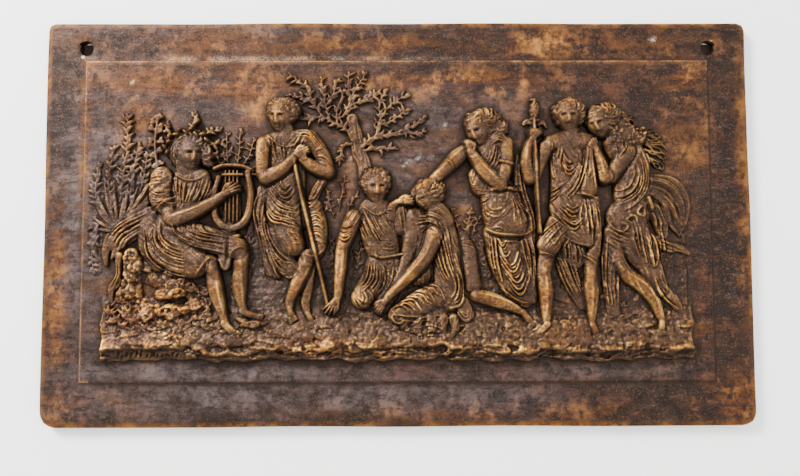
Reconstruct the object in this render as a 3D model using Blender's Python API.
"""Relief plaque: one cast bronze plate, 420 x 241 mm, with seven figures in half relief.

X runs to the right, Z up, and the carved front faces -Y. The origin is the middle of the flat back.
Every size below is in millimetres, and heights are measured from the front of the raised panel.
A carved form is a list of stations along its middle, each (x, z, half width, height), joined by a
smooth curve. The front is a fine grid pushed out to those heights, thinned to about 9,500 triangles.
"""

import math

import bmesh
import bpy
import numpy as np

MM = 0.001

# Plate
PLATE_WIDTH = 420.0
PLATE_HEIGHT = 241.0
PLATE_THICKNESS = 6.0
CORNER_RADIUS = 8.0
EDGE_ROUND = 2.0

# Raised panel, its step and where it stands
PANEL_WIDTH = 372.0
PANEL_HEIGHT = 190.6
PANEL_MIDDLE = (-0.4, 1.4)
PANEL_RISE = 0.8
STEP_WIDTH = 1.5

# Screw holes
HOLE_DIAMETER = 8.0
HOLE_X = 186.4
HOLE_Z = 104.0
HOLE_SIDES = 32

# Ground
LEDGE_LEFT = -173.5
LEDGE_RIGHT = 172.5
# Its section from the foot of its front face, over the lip, back to where it meets the panel: (z, height)
LEDGE_SECTION = ((-81.0, 5.0), (-73.5, 8.0), (-62.0, 4.5), (-50.0, 0.0))

# Mesh
GRID_PITCH = 1.1
KEEP_SHARE = 0.055
CURVE_STEPS = 5
SOFTEN_PASSES = 1


def smooth_route(stations):
    """Return points on a Catmull-Rom curve through the stations, all columns at once."""
    knots = np.array(stations, dtype=float)
    if len(knots) == 1:
        return np.vstack([knots, knots])
    knots = np.vstack([2 * knots[0] - knots[1], knots, 2 * knots[-1] - knots[-2]])
    points = []
    for a, b, c, d in zip(knots[:-3], knots[1:-2], knots[2:-1], knots[3:]):
        for t in np.arange(CURVE_STEPS) / CURVE_STEPS:
            points.append(0.5 * (2 * b + (c - a) * t + (2 * a - 5 * b + 4 * c - d) * t ** 2
                                 + (3 * b - a - 3 * c + d) * t ** 3))
    points.append(knots[-2])
    return np.array(points)


class Relief:
    """Heights above the panel over a regular grid of the plate's front."""

    def __init__(self, across, up):
        self.across = across
        self.up = up
        self.x, self.z = np.meshgrid(across, up)
        self.height = np.zeros_like(self.x)

    def spans(self, route):
        """Yield each short span of a route: its window of the grid, squared distance over width, and height."""
        for a, b in zip(route[:-1], route[1:]):
            reach = max(a[2], b[2])
            low = np.minimum(a, b)[:2] - reach
            high = np.maximum(a, b)[:2] + reach
            columns = slice(*np.searchsorted(self.across, (low[0], high[0])))
            rows = slice(*np.searchsorted(self.up, (low[1], high[1])))
            x = self.x[rows, columns] - a[0]
            z = self.z[rows, columns] - a[1]
            run = b[:2] - a[:2]
            along = np.clip((x * run[0] + z * run[1]) / max(run @ run, 1e-9), 0, 1)
            half_width = a[2] + (b[2] - a[2]) * along
            apart = ((x - along * run[0]) ** 2 + (z - along * run[1]) ** 2) / half_width ** 2
            yield (rows, columns), apart, half_width, a[3] + (b[3] - a[3]) * along

    def form(self, *stations, depth=1.0):
        """Raise a rounded form, such as a limb; depth below 1 flattens its round."""
        for window, apart, half_width, top in self.spans(smooth_route(stations)):
            drop = depth * half_width * (1 - np.sqrt(np.clip(1 - apart, 0, 1)))
            raised = np.where(apart < 1, top - drop, 0)
            self.height[window] = np.maximum(self.height[window], raised)

    def folds(self, first, last, count):
        """Add ridges of cloth, from the first ridge's route to the last one's."""
        first = np.array(first, dtype=float)
        last = np.array(last, dtype=float)
        ridges = np.zeros_like(self.height)
        for share in np.linspace(0, 1, count):
            route = smooth_route(first + (last - first) * share)
            for window, apart, _, top in self.spans(route):
                ridges[window] = np.maximum(ridges[window], top * np.clip(1 - apart, 0, 1))
        self.height += ridges

    def block(self, x, z, half_width, half_height, top):
        """Raise a worn block of rock."""
        across = np.abs(self.x - x) / half_width
        up = np.abs(self.z - z) / half_height
        raised = top * np.clip(1 - across ** 4 - up ** 4, 0, 1) ** 0.4
        self.height = np.maximum(self.height, raised)

    def sprig(self, *stations, leaf=5.0, every=6.0):
        """Raise a stem with pairs of small leaves."""
        self.form(*stations)
        route = smooth_route(stations)
        lengths = np.append(0, np.cumsum(np.hypot(*np.diff(route[:, :2], axis=0).T)))
        for number, along in enumerate(np.arange(every, lengths[-1], every)):
            x, z, _, top = [np.interp(along, lengths, column) for column in route.T]
            ahead = [np.interp(along + 1, lengths, column) for column in route.T[:2]]
            heading = math.atan2(ahead[1] - z, ahead[0] - x) + (0.8 if number % 2 else -0.8)
            tip = (x + leaf * math.cos(heading), z + leaf * math.sin(heading))
            self.form((x, z, 1.2, top), ((x + tip[0]) / 2, (z + tip[1]) / 2, 2.2, top), (*tip, 1.2, top * 0.7))


def ground(r):
    """The ground rises from the panel to the lip of a ledge, with rubble on it."""
    across = (r.x > LEDGE_LEFT) & (r.x < LEDGE_RIGHT)
    wander = 0.8 * np.sin(r.x * 0.09) + 0.6 * np.sin(r.x * 0.31)
    at, section = zip(*LEDGE_SECTION)
    slope = np.interp(r.z - wander, at, section, left=0, right=0)
    wave = 0.5 * np.sin(r.x * 0.21) + 0.4 * np.sin(r.x * 0.47 + r.z * 0.6)
    r.height = np.maximum(r.height, np.where(across & (slope > 0), slope + wave * slope / 8, 0))
    for x, z, size in ((-57, -68, 5.5), (-39, -69, 5), (-18, -70, 5), (30, -66, 6.5), (44, -68, 5), (-84, -64, 7),
                       (-70, -66, 6), (5, -70, 4.5), (68, -66, 6), (98, -70, 5), (134, -53, 6), (163, -64, 7)):
        r.form((x - size / 2, z, size * 0.6, 6.2), (x + size / 2, z, size * 0.6, 6.0))


def seat(r):
    """The rocks that the lyre player sits on."""
    for x, z, half_width, half_height, top in (
            (-154, -26, 7, 8, 5), (-153, -40, 8, 7, 5), (-137, -33, 12, 8, 4), (-136, -45, 13, 6, 5.5),
            (-136, -56, 13, 6, 6), (-118, -47, 8, 8, 5), (-119, -58, 8, 5, 5.5), (-154, -55, 9, 8, 4.5),
            (-135, -67, 14, 6, 6.5), (-158, -68, 12, 5, 5.5), (-115, -67, 9, 6, 6), (-141, -20, 9, 7, 4)):
        r.block(x, z, half_width, half_height, top)


def left_plants(r):
    """Leafy stems that fan out behind the lyre player."""
    for top_x, top_z, bend in ((-178, 22, -4), (-172, 44, -5), (-162, 60, -3), (-153, 46, 2), (-148, 24, 5)):
        r.sprig((-164, -2, 1.6, 2.2), (-164 + (top_x + 164) * 0.4 + bend, top_z * 0.45, 1.3, 2.2),
                (top_x, top_z, 0.8, 1.8), leaf=6)
    r.sprig((-141, 26, 1.6, 2.5), (-143, 44, 1.4, 2.5), (-142, 63, 0.9, 2), leaf=6)
    for lean in (-9, -3, 3, 9):
        r.sprig((-98 + lean / 2, 32, 1.4, 2.2), (-98 + lean, 42, 1.2, 2), (-98 + lean * 1.3, 50, 0.8, 1.6))
    for x, z in ((-35, 26), (39, 6)):
        r.sprig((x, z - 20, 1.2, 1.8), (x + 2, z - 8, 1, 1.8), (x + 5, z, 0.8, 1.5))


def tree(r):
    """The tree over the kneeling pair, with its sawn bough."""
    r.form((-20, 30, 5.5, 3.6), (-23, 42, 4.6, 4.2), (-25, 50, 4.4, 4.4), (-26, 61, 4.4, 4.8))
    boughs = (
        ((-26, 50, 3, 3.6), (-31, 56, 2, 3), (-38, 60, 1.7, 2.6), (-50, 60, 1.2, 2)),
        ((-37, 60, 1.8, 2.6), (-36, 68, 1.4, 2.4), (-32, 77, 1.1, 2)),
        ((-44, 61, 1.5, 2.4), (-50, 70, 1.3, 2.2), (-54, 80, 1.1, 2), (-62, 87, 0.9, 1.8)),
        ((-41, 61, 1.4, 2.4), (-43, 72, 1.2, 2.2), (-41, 84, 0.9, 1.8)),
        ((-33, 62, 1.4, 2.6), (-27, 69, 1.3, 2.4), (-15, 76, 1, 2)),
        ((-30, 66, 1.2, 2.4), (-25, 77, 1.1, 2.2), (-19, 88, 0.9, 1.8)),
        ((-22, 45, 3, 3.8), (-13, 49.5, 2.3, 3.2), (-3, 53, 1.8, 2.8), (7, 55, 1.4, 2.4), (15, 60, 0.9, 1.8)),
        ((-13, 51, 1.6, 2.8), (-11, 61, 1.4, 2.6), (-3, 70, 1.2, 2.2), (6, 76, 0.9, 1.8)),
        ((-20, 43, 2.2, 3), (-12, 43, 1.5, 2.4), (-2, 43, 1, 2)))
    for stations in boughs:
        r.sprig(*stations, leaf=5, every=5)


def lyre(r):
    """The lyre: a bowl, two curved arms, a crossbar and strings."""
    r.form((-106, 27, 1.8, 5), (-108.5, 14, 2, 5.5), (-107, 2, 2.4, 5.5), (-99, -5, 3.2, 5.5))
    r.form((-89.5, 30, 2, 5), (-88.5, 15, 2.1, 5.5), (-90.5, 2, 2.4, 5.5), (-99, -5, 3.2, 5.5))
    r.form((-106, 31, 1.7, 5.5), (-95, 33, 1.7, 5.5), (-84, 30.5, 1.6, 5))
    r.form((-98, 6, 7.5, 3.2), (-98, -2, 7, 3.6), depth=0.4)
    for x in (-100, -97, -94):
        r.form((x, 31, 0.8, 3.6), (x, 2, 0.8, 4))


def lyre_player(r):
    """A seated player in a loose robe, with a cloak that trails to the left."""
    r.form((-148, 8, 6, 4), (-158, -5, 7, 4.2), (-169, -13, 5.5, 3.8), (-167, -28, 4, 3.2), (-163, -36, 2.5, 2.6),
           (-167, -44, 2.2, 2.2), depth=0.5)
    r.form((-121, 26, 12, 6.5), (-123, 10, 12, 7), (-130, -4, 13, 7), depth=0.5)
    r.form((-146, -4, 9, 6), (-146, -18, 8, 5.5), depth=0.6)
    r.form((-142, -8, 10, 7), (-130, -20, 11, 8.6), (-117, -25, 8, 9.4), depth=0.8)
    r.form((-135, -4, 8, 6), (-112, -11, 8, 7.4), (-94, -17, 6.4, 8), depth=0.8)
    r.form((-137, 25, 7.5, 8), (-139, 13, 7.8, 8.6), (-137, 6, 6, 8), depth=0.9)
    r.form((-112, 27, 5, 7), (-109, 16, 4, 6))
    r.folds([(-131, 27, 2.2, 0), (-129, 17, 2.2, 2.0), (-127, 6, 2, 0)],
            [(-114, 27, 2.2, 0), (-114, 17, 2.2, 2.0), (-118, 7, 2, 0)], 5)
    r.folds([(-141, -3, 2, 0), (-139, -14, 2.6, 2.4), (-129, -19, 2.6, 2.4), (-118, -18, 2, 0)],
            [(-151, -10, 2, 0), (-144, -26, 2.6, 2.4), (-131, -32, 2.6, 2.4), (-117, -32, 2, 0)], 4)
    r.folds([(-128, -3, 2, 0), (-118, -8, 2.2, 1.8), (-104, -12, 2.2, 1.8), (-90, -14, 2, 0)],
            [(-124, -10, 2, 0), (-116, -15, 2.2, 1.8), (-106, -17, 2.2, 1.8), (-94, -20, 2, 0)], 3)
    r.folds([(-147, 2, 2.2, 0), (-158, -2, 2.2, 2.1), (-168, -9, 2.2, 2.1), (-173, -18, 2, 0)],
            [(-150, -9, 2.2, 0), (-158, -13, 2.2, 2.1), (-164, -19, 2.2, 2.1), (-165, -32, 2, 0)], 4)
    r.form((-109, -25, 5.2, 8.4), (-105, -42, 4.8, 7.5), (-100, -58, 3.2, 6.8), (-97, -65, 3, 7.4),
           (-91, -68, 2.4, 7.4))
    r.form((-92, -20, 5.6, 7), (-92, -37, 5.2, 6.5), (-91, -50, 3.2, 5.5), (-87, -55, 3, 5), (-78, -57, 2, 4.5))
    lyre(r)
    r.form((-131, 1, 5.2, 9), (-118, 6, 4.4, 9.2), (-106, 13, 3.4, 8.4), (-98, 19, 2.6, 7.6))
    r.form((-127, 38, 5, 7), (-127, 28, 5.5, 7))
    r.form((-123, 46, 10, 10), (-120, 38, 7.5, 9.6))


def shepherd(r):
    """A standing youth in a tunic, hands crossed on a staff."""
    r.form((-79, 20, 5, 3.5), (-82, 5, 5, 4), (-78, -12, 5, 4.5), (-75, -29, 4.5, 3.6), depth=0.6)
    r.form((-64, 44, 13, 6), (-64, 30, 13, 6.5), (-64, 14, 13, 6.5), (-63, 0, 14, 6.5), depth=0.45)
    r.form((-78, 48, 4.8, 7), (-66, 50, 5, 6.4), (-53, 49, 6, 7.4))
    r.form((-50, 8, 6, 5.5), (-47, -6, 6.5, 6.6), (-47, -18, 5.5, 6))
    r.form((-72, -8, 7, 5.5), (-67, -24, 8, 5.5), (-62, -29, 6, 5), depth=0.7)
    r.form((-68, 4, 9, 6.5), (-63, -8, 9, 8.4), (-60, -16, 7.5, 8.4), depth=0.9)
    r.folds([(-79, -2, 2, 0), (-76, -14, 2.4, 2.0), (-66, -24, 2.4, 2.0), (-57, -24, 2, 0)],
            [(-80, -14, 2, 0), (-77, -26, 2.4, 2.0), (-69, -33, 2.4, 2.0), (-60, -32, 2, 0)], 3)
    r.folds([(-77, 20, 2.2, 0), (-69, 12, 2.4, 2.0), (-59, 12, 2.2, 0)],
            [(-78, 8, 2.2, 0), (-70, -1, 2.4, 2.0), (-58, -4, 2.2, 0)], 3)
    r.form((-54, -22, 5.4, 6), (-58, -36, 4.8, 6.4), (-63, -46, 3.2, 6), (-61, -56, 2.8, 5.6))
    r.form((-52, -32, 4.6, 5), (-53, -46, 4.2, 5), (-52, -56, 2.8, 5), (-48, -60, 2.6, 5))
    r.form((-60, 34, 1.5, 8), (-51, -6, 1.5, 8), (-42, -49, 1.5, 5))
    r.form((-79, 45, 4.9, 7.5), (-78.5, 30, 4.6, 7.6))
    r.form((-52, 48, 6, 7.5), (-45, 39, 6, 7), (-41, 30, 5, 7))
    r.form((-77, 26, 4.8, 8.5), (-68, 31, 3.8, 8.8), (-60, 39, 2.8, 9), (-56, 41, 2.4, 8.8))
    r.form((-42, 29, 4.6, 8), (-50, 33, 3.8, 8.6), (-58, 39, 2.8, 9.2))
    r.form((-66, 55, 5, 7), (-65, 47, 6, 6))
    r.form((-68, 66, 10.5, 9.6), (-69, 59, 7.6, 9.2))


def kneeling_youth(r):
    """A youth who kneels with one hand on the ground."""
    r.form((-13, 4, 12, 6), (-11, -8, 11.5, 6.5), (-8, -20, 10, 6), depth=0.5)
    r.form((-4, -24, 7, 5.5), (-3, -36, 7, 5), (-8, -48, 7, 4.5), depth=0.7)
    r.form((-11, -24, 8, 6), (-15, -35, 8, 6), (-21, -45, 7.2, 7), depth=0.8)
    r.folds([(-24, 6, 2, 0), (-20, -6, 2.2, 2.0), (-15, -18, 2, 0)],
            [(-6, 6, 2, 0), (-4, -6, 2.2, 2.0), (-2, -17, 2, 0)], 5)
    r.folds([(-16, -22, 2, 0), (-18, -34, 2.2, 1.8), (-27, -44, 2, 0)],
            [(-3, -24, 2, 0), (-5, -36, 2.2, 1.8), (-12, -50, 2, 0)], 4)
    r.form((-16, -20, 2, 7.4), (-8, -21.5, 2, 7.6), (0, -20, 2, 7))
    r.form((-26, 2, 5.4, 7), (-30, -9, 5.2, 7.2), (-33, -24, 4.4, 7), (-34.5, -40, 3.4, 6.5), (-36, -51, 3, 6),
           (-38, -56, 2.4, 5.5))
    r.form((-12, 13, 4.5, 6.5), (-12, 7, 6, 6))
    r.form((-13, 24, 9, 9.2), (-13, 17, 7.2, 8.8))


def kneeling_woman(r):
    """A woman who kneels beside the youth, bowed, with one arm down to the ground."""
    r.form((41, -16, 6.5, 5), (43, -30, 6.8, 6), (45, -42, 6, 6.4))
    r.form((46, -43, 5, 6.6), (60, -46, 4.4, 6.6), (74, -52, 3.5, 6.2), (78, -56, 3, 5.8))
    r.form((10, 0, 8, 6.5), (10, -14, 8, 5.5), (12, -30, 9, 4.5), depth=0.6)
    r.form((24, -2, 9, 7), (26, -16, 10, 7), (28, -32, 9.5, 7), (30, -46, 8.5, 6.5), depth=0.7)
    r.form((0, 6, 5.5, 5.5), (1, -6, 5, 4.5), depth=0.8)
    r.form((24, -44, 8, 7.5), (12, -50, 8, 8), (1, -55, 6.5, 8), depth=0.8)
    r.form((36, -48, 4.5, 6), (42, -57, 3.6, 6))
    r.folds([(18, -38, 2, 0), (25, -41, 2.2, 2.0), (29, -50, 2, 0)],
            [(-3, -52, 2, 0), (3, -52, 2.2, 2.0), (7, -58, 2, 0)], 5)
    r.folds([(26, 2, 2, 0), (31, -15, 2.2, 1.8), (37, -46, 2, 0)],
            [(20, -16, 2, 0), (22, -28, 2.2, 1.8), (31, -38, 2, 0)], 4)
    r.form((6, -12, 5.2, 6.5), (2, -30, 4.8, 6.4), (-4, -43, 3.2, 6))
    r.form((12, 4, 4, 6.5), (3, 10, 3, 6.8), (-3, 6, 2.6, 6))
    r.form((20, -8, 6.6, 9), (17, -20, 4.9, 9.4), (4, -34, 4.2, 9.2), (-8, -47, 3.2, 8.6))
    r.form((17, 18, 9.4, 9), (13, 11, 7, 8.4))


def standing_woman(r):
    """A woman who stands in thought, hand at chin, the other hand on the kneeling woman's head."""
    r.form((70, 34, 4, 4), (72, 16, 4.5, 4.5), (78, 0, 4, 4), (79, -16, 2.5, 3.5))
    r.form((55, 42, 10, 6), (55, 28, 11, 6.5), (60, 14, 11, 6.5), depth=0.5)
    r.form((46, 25, 5, 6), (43, 22, 4.5, 5.6))
    r.form((62, -6, 12.5, 7), (65, -24, 13, 7.2), (68, -40, 11, 6.5), (75, -49, 5.5, 5), depth=0.5)
    r.form((60, 12, 13, 7.8), (63, 0, 13.5, 7.6), depth=0.5)
    r.folds([(52, 14, 2, 0), (48, 4, 2.2, 1.8), (54, -4, 2, 0)],
            [(66, 16, 2, 0), (73, 6, 2.2, 1.8), (76, -5, 2, 0)], 5)
    r.folds([(52, -8, 2, 0), (54, -22, 2.2, 2.1), (59, -40, 2, 0)],
            [(58, -8, 2, 0), (60, -24, 2.2, 2.1), (66, -42, 2, 0)], 3)
    r.folds([(58, -9, 2, 0), (62, -16, 2.4, 2.2), (67, -14, 2.4, 2.2), (72, -8, 2, 0)],
            [(66, -36, 2, 0), (71, -44, 2.4, 2.2), (76, -42, 2.4, 2.2), (78, -30, 2, 0)], 6)
    r.form((62, 47, 6.5, 7.6), (63, 44, 5.8, 8.2), (62, 28, 5, 8.4))
    r.form((59, 22, 5.4, 9.2), (50, 30, 4.7, 9.5), (43, 39, 3.3, 9), (41, 44, 3, 8.6))
    r.form((38, 40, 4.6, 6.2), (29, 30, 5, 7), (20, 23, 4, 7.6))
    r.form((52, 50, 5, 6.5), (54, 44, 6, 6))
    r.form((57, 58, 4.8, 7.4))
    r.form((50, 59, 9.4, 9.2), (45, 52, 6.5, 8.6))


def staff_bearer(r):
    """A youth in a draped tunic with a staff that ends in a pine cone and ribbons."""
    r.form((98, -24, 6, 3), (103, -38, 6, 3), (108, -50, 4, 2.5), depth=0.5)
    r.form((81.5, 76, 1.4, 4.5), (83, 30, 1.4, 6.5), (84, -8, 1.3, 4))
    r.form((81, 57, 3.6, 5), (81.5, 67, 4.3, 5.2), (81.5, 76, 2.4, 4))
    r.form((76, 60, 2.8, 4), (79, 57, 2, 4))
    r.form((87, 60, 2.8, 4), (84, 57, 2, 4))
    r.form((101, 42, 13, 6.5), (101, 26, 12.5, 7), (101, 12, 12.5, 7), depth=0.5)
    r.form((90, 46, 5.5, 7), (101, 49, 6, 6.6), (113, 47, 6, 7.2))
    r.form((114, 10, 5, 6.5), (116, -8, 5, 6), (114, -19, 4, 5.5))
    r.form((102, 6, 12.5, 7.5), (103, -4, 12, 7.2), depth=0.5)
    r.form((92, -6, 8, 7), (88, -14, 6.4, 7.6), depth=0.8)
    r.form((113, 42, 3, 7.8), (113, 26, 5, 7.8), (112, 18, 6.2, 7.4))
    r.folds([(91, 45, 2, 0), (90, 30, 2.2, 1.8), (93, 14, 2, 0)],
            [(100, 30, 2, 0), (97, 24, 2.2, 1.8), (98, 14, 2, 0)], 3)
    r.folds([(95, 40, 2, 0), (101, 32, 2.2, 2.1), (108, 40, 2, 0)],
            [(93, 26, 2, 0), (101, 20, 2.2, 2.1), (110, 28, 2, 0)], 3)
    r.folds([(96, 8, 2, 0), (102, 4, 2.2, 2.1), (109, 10, 2, 0)],
            [(93, -5, 2, 0), (102, -11, 2.2, 2.1), (112, -12, 2, 0)], 4)
    r.form((86, -20, 5.4, 7), (85, -31, 4.7, 7.2), (88, -42, 5.4, 7.4), (86.5, -56, 3.2, 7), (83, -63, 3, 7.4),
           (77, -68, 2.4, 7.6))
    r.form((113, -22, 5.2, 6.5), (113, -34, 4.7, 6.6), (113, -43, 5.4, 6.8), (113, -57, 3.2, 6.4), (112, -65, 3, 7.4))
    r.form((88, 43, 5.2, 7.2), (80, 29, 5, 7.2))
    r.form((77, 25, 4.6, 7.6), (76, 38, 3.8, 7.6), (79, 50, 2.9, 8))
    r.form((102, 54, 5, 7), (102, 48, 6, 6.6))
    r.form((101, 67, 9.8, 9.8), (101, 59, 7.2, 9.2))


def leaning_woman(r):
    """A woman who leans on the staff bearer, her hair and cloak flying to the right."""
    r.form((150, 26, 6, 4.5), (163, 22, 7, 4), (172, 8, 6, 3.6), (177, -6, 4, 3), depth=0.5)
    r.form((152, 6, 6, 4), (161, -7, 6, 3.6), depth=0.5)
    r.form((130, 64, 5, 6), (142, 56, 4.6, 4.6), (152, 47, 4, 3.6), (160, 39, 3, 2.6), depth=0.8)
    r.form((126, -10, 6, 5), (124, -30, 5, 4.2), (126, -52, 5, 3.6), depth=0.7)
    r.form((134, 0, 13, 6), (138, -14, 13, 6.2), (143, -28, 10, 5.5), (151, -40, 6, 5), depth=0.45)
    r.form((156, -42, 4, 4), (163, -50, 4, 3.5), (168, -56, 2.5, 3))
    r.form((132, 46, 12, 7), (138, 32, 12, 7.2), (138, 18, 12, 7), (140, 6, 11, 6.5), depth=0.5)
    r.folds([(150, 30, 2, 0), (163, 26, 2.2, 1.8), (173, 18, 2.2, 1.8), (178, 2, 2, 0)],
            [(150, 18, 2, 0), (160, 14, 2.2, 1.8), (165, 4, 2.2, 1.8), (168, -8, 2, 0)], 4)
    r.folds([(149, 36, 2, 0), (149, 24, 2.2, 2.1), (142, 12, 2, 0)],
            [(138, 30, 2, 0), (136, 18, 2.2, 2.1), (130, 10, 2, 0)], 4)
    r.folds([(138, -2, 2, 0), (139, -16, 2.2, 2.0), (144, -30, 2, 0)],
            [(154, -2, 2, 0), (155, -20, 2.2, 2.0), (156, -42, 2, 0)], 4)
    for x, z in ((146, 8), (138, 2), (132, -2), (152, 3)):
        r.form((x, z, 2.6, 7.6))
    r.form((128, -16, 4.8, 6), (131, -29, 4.8, 6.8), (143, -37, 5.2, 7.2), (151, -49, 4, 6.8), (153.5, -60, 3, 6.6),
           (152, -66, 2.8, 6.8))
    r.form((125, 27, 4.8, 8.6), (132, 35, 5, 8.6), (138, 43, 5.4, 8.4))
    r.form((118, 44, 3, 8.2), (121, 33, 4, 8.8), (123, 26, 4.6, 9))
    r.form((122, 63, 9.2, 8.8), (119, 57, 6.6, 8.2))


def soften(relief):
    """Round the crisp steps as sand casting does, by a few passes of a small average."""
    for _ in range(SOFTEN_PASSES):
        h = np.pad(relief.height, 1, mode="edge")
        h = (h[:-2] + 4 * h[1:-1] + h[2:]) / 6
        relief.height = (h[:, :-2] + 4 * h[:, 1:-1] + h[:, 2:]) / 6


def panel_and_edge(relief):
    """Return heights above the plate's face: the raised panel in, and the rounded outer edge off."""
    in_x = PANEL_WIDTH / 2 - np.abs(relief.x - PANEL_MIDDLE[0])
    in_z = PANEL_HEIGHT / 2 - np.abs(relief.z - PANEL_MIDDLE[1])
    panel = PANEL_RISE * np.clip(np.minimum(in_x, in_z) / STEP_WIDTH + 0.5, 0, 1)
    to_edge = np.minimum(PLATE_WIDTH / 2 - np.abs(relief.x), PLATE_HEIGHT / 2 - np.abs(relief.z))
    off = np.clip(EDGE_ROUND - to_edge, 0, EDGE_ROUND)
    return panel + relief.height - (EDGE_ROUND - np.sqrt(EDGE_ROUND ** 2 - off ** 2))


def round_corners(x, z):
    """Move grid points of each square corner into a quarter disc."""
    u = (np.abs(x) - (PLATE_WIDTH / 2 - CORNER_RADIUS)) / CORNER_RADIUS
    v = (np.abs(z) - (PLATE_HEIGHT / 2 - CORNER_RADIUS)) / CORNER_RADIUS
    corner = (u > 0) & (v > 0)
    inward_x = np.where(corner, CORNER_RADIUS * u * (1 - np.sqrt(1 - np.clip(v, 0, 1) ** 2 / 2)), 0)
    inward_z = np.where(corner, CORNER_RADIUS * v * (1 - np.sqrt(1 - np.clip(u, 0, 1) ** 2 / 2)), 0)
    return x - np.sign(x) * inward_x, z - np.sign(z) * inward_z


def carved_sheet():
    """Return the thinned front surface as an open mesh, in metres."""
    columns = round(PLATE_WIDTH / GRID_PITCH)
    rows = round(PLATE_HEIGHT / GRID_PITCH)
    across = np.linspace(-PLATE_WIDTH / 2, PLATE_WIDTH / 2, columns + 1)
    up = np.linspace(-PLATE_HEIGHT / 2, PLATE_HEIGHT / 2, rows + 1)
    relief = Relief(across, up)
    for carve in (ground, seat, left_plants, tree, leaning_woman, staff_bearer, kneeling_woman, standing_woman,
                  kneeling_youth, shepherd, lyre_player):
        carve(relief)
    soften(relief)
    height = panel_and_edge(relief)
    x, z = round_corners(relief.x, relief.z)

    bm = bmesh.new()
    bmesh.ops.create_grid(bm, x_segments=columns, y_segments=rows, size=1)
    points = np.column_stack([x.ravel(), -(PLATE_THICKNESS + height.ravel()), z.ravel()]) * MM
    for vert, point in zip(bm.verts, points):
        vert.co = point
    mesh = bpy.data.meshes.new("sheet")
    bm.to_mesh(mesh)
    bm.free()

    sheet = bpy.data.objects.new("sheet", mesh)
    bpy.context.collection.objects.link(sheet)
    thin = sheet.modifiers.new("Thin", "DECIMATE")
    thin.ratio = KEEP_SHARE
    thin.use_collapse_triangulate = True
    depsgraph = bpy.context.evaluated_depsgraph_get()
    thinned = bpy.data.meshes.new_from_object(sheet.evaluated_get(depsgraph))
    bpy.data.objects.remove(sheet)
    bpy.data.meshes.remove(mesh)
    return thinned


def closed_plate(mesh):
    """Give the open front its side walls and its flat back."""
    bm = bmesh.new()
    bm.from_mesh(mesh)
    rim = [edge for edge in bm.edges if edge.is_boundary]
    walls = bmesh.ops.extrude_edge_only(bm, edges=rim)["geom"]
    for item in walls:
        if isinstance(item, bmesh.types.BMVert):
            item.co.y = 0
    back = [item for item in walls if isinstance(item, bmesh.types.BMEdge) and item.is_boundary]
    bmesh.ops.triangle_fill(bm, edges=back, use_beauty=True)
    bmesh.ops.recalc_face_normals(bm, faces=bm.faces[:])
    bm.to_mesh(mesh)
    bm.free()
    return mesh


def screw_hole(plaque, side, x):
    """Cut one screw hole right through the plate."""
    bm = bmesh.new()
    turn = bmesh.ops.create_cone(bm, cap_ends=True, segments=HOLE_SIDES, radius1=HOLE_DIAMETER / 2 * MM,
                                 radius2=HOLE_DIAMETER / 2 * MM, depth=4 * PLATE_THICKNESS * MM)
    for vert in turn["verts"]:
        along, out, up = vert.co
        vert.co = (along + x * MM, up, HOLE_Z * MM - out)
    bmesh.ops.recalc_face_normals(bm, faces=bm.faces[:])
    mesh = bpy.data.meshes.new(f"hole_cutter_{side}")
    bm.to_mesh(mesh)
    bm.free()
    cutter = bpy.data.objects.new(f"hole_cutter_{side}", mesh)
    bpy.context.collection.objects.link(cutter)
    cutter.hide_render = True
    cutter.display_type = "WIRE"
    cut = plaque.modifiers.new(f"Screw hole {side}", "BOOLEAN")
    cut.operation = "DIFFERENCE"
    cut.object = cutter


def bronze():
    """Brown patina over cast bronze."""
    material = bpy.data.materials.new("patinated cast bronze")
    material.use_nodes = True
    shader = material.node_tree.nodes["Principled BSDF"]
    shader.inputs["Base Color"].default_value = (0.095, 0.048, 0.030, 1)
    shader.inputs["Metallic"].default_value = 0.55
    shader.inputs["Roughness"].default_value = 0.5
    return material


def build():
    for old in list(bpy.data.objects):
        bpy.data.objects.remove(old)
    mesh = closed_plate(carved_sheet())
    mesh.name = "plaque"
    mesh.materials.append(bronze())
    plaque = bpy.data.objects.new("plaque", mesh)
    bpy.context.collection.objects.link(plaque)
    mesh.shade_smooth()
    mesh.set_sharp_from_angle(angle=math.radians(50))
    screw_hole(plaque, "left", -HOLE_X)
    screw_hole(plaque, "right", HOLE_X)


build()
